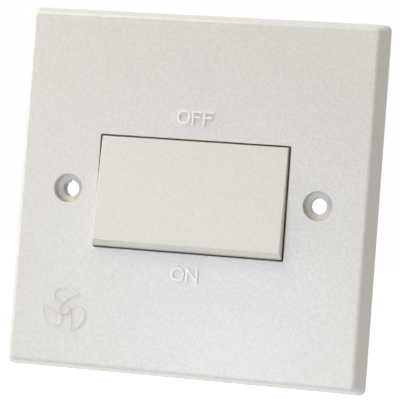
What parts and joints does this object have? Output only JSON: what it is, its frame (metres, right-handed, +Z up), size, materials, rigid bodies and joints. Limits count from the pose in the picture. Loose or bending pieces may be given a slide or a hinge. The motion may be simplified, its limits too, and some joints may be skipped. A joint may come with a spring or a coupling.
{
  "type": "fan isolator switch",
  "caption": "Square flared wall plate with counterbored fixing holes and one wide rocker that opens the poles of a fan supply.",
  "frame": {"origin": "centre of the plate on the wall plane, midway between the fixing holes", "axes": "+X right along the plate seen from the front, +Y into the wall, +Z up"},
  "size_m": [0.088, 0.0263, 0.088],
  "materials": {
    "plate_plastic": "satin white moulding",
    "rocker_plastic": "satin warm white moulding",
    "base_plastic": "dull white moulding",
    "plunger_plastic": "natural moulding",
    "terminal_brass": "drawn bar",
    "blade_copper": "rolled strip",
    "contact_silver": "riveted silver",
    "screw_steel": "zinc plated",
    "spring_steel": "drawn wire"
  },
  "bodies": {
    "housing": {"front_plate": "plate_plastic", "switch_base": "base_plastic", "base_screws": "screw_steel", "line_terminal_1": "terminal_brass", "line_terminal_2": "terminal_brass", "line_terminal_3": "terminal_brass", "load_terminal_1": "terminal_brass", "load_terminal_2": "terminal_brass", "load_terminal_3": "terminal_brass", "line_screw_1": "screw_steel", "line_screw_2": "screw_steel", "line_screw_3": "screw_steel", "load_screw_1": "screw_steel", "load_screw_2": "screw_steel", "load_screw_3": "screw_steel", "fixed_contact_1": "contact_silver", "fixed_contact_2": "contact_silver", "fixed_contact_3": "contact_silver"},
    "rocker_body": {"rocker": "rocker_plastic", "plunger_spring_1": "spring_steel", "plunger_spring_2": "spring_steel", "plunger_spring_3": "spring_steel"},
    "plunger_body_1": {"plunger_1": "plunger_plastic"},
    "blade_body_1": {"moving_contact_1": "blade_copper", "contact_button_1": "contact_silver"},
    "plunger_body_2": {"plunger_2": "plunger_plastic"},
    "blade_body_2": {"moving_contact_2": "blade_copper", "contact_button_2": "contact_silver"},
    "plunger_body_3": {"plunger_3": "plunger_plastic"},
    "blade_body_3": {"moving_contact_3": "blade_copper", "contact_button_3": "contact_silver"}
  },
  "joints": [
    {"name": "rocker_throw", "type": "hinge", "parent": "housing", "child": "rocker_body", "pos_m": [0, -0.0033, 0], "axis": [1, 0, 0], "range_deg": [0, 16]},
    {"name": "plunger_press_1", "type": "slide", "parent": "rocker_body", "child": "plunger_body_1", "axis": [0, -0.9903, 0.1392], "range_m": [0, 0.0012], "stiffness_N_per_m": 800, "springref_m": -0.002, "deforming": ["plunger_spring_1"]},
    {"name": "blade_rock_1", "type": "hinge", "parent": "housing", "child": "blade_body_1", "pos_m": [-0.015, 0.0114, 0], "axis": [1, 0, 0], "range_deg": [-22, 0]},
    {"name": "plunger_press_2", "type": "slide", "parent": "rocker_body", "child": "plunger_body_2", "axis": [0, -0.9903, 0.1392], "range_m": [0, 0.0012], "stiffness_N_per_m": 800, "springref_m": -0.002, "deforming": ["plunger_spring_2"]},
    {"name": "blade_rock_2", "type": "hinge", "parent": "housing", "child": "blade_body_2", "pos_m": [0, 0.0114, 0], "axis": [1, 0, 0], "range_deg": [-22, 0]},
    {"name": "plunger_press_3", "type": "slide", "parent": "rocker_body", "child": "plunger_body_3", "axis": [0, -0.9903, 0.1392], "range_m": [0, 0.0012], "stiffness_N_per_m": 800, "springref_m": -0.002, "deforming": ["plunger_spring_3"]},
    {"name": "blade_rock_3", "type": "hinge", "parent": "housing", "child": "blade_body_3", "pos_m": [0.015, 0.0114, 0], "axis": [1, 0, 0], "range_deg": [-22, 0]}
  ],
  "couplings": [
    {"joint": "blade_rock_1", "follows": "rocker_throw", "ratio": -1.375},
    {"joint": "blade_rock_2", "follows": "rocker_throw", "ratio": -1.375},
    {"joint": "blade_rock_3", "follows": "rocker_throw", "ratio": -1.375}
  ]
}
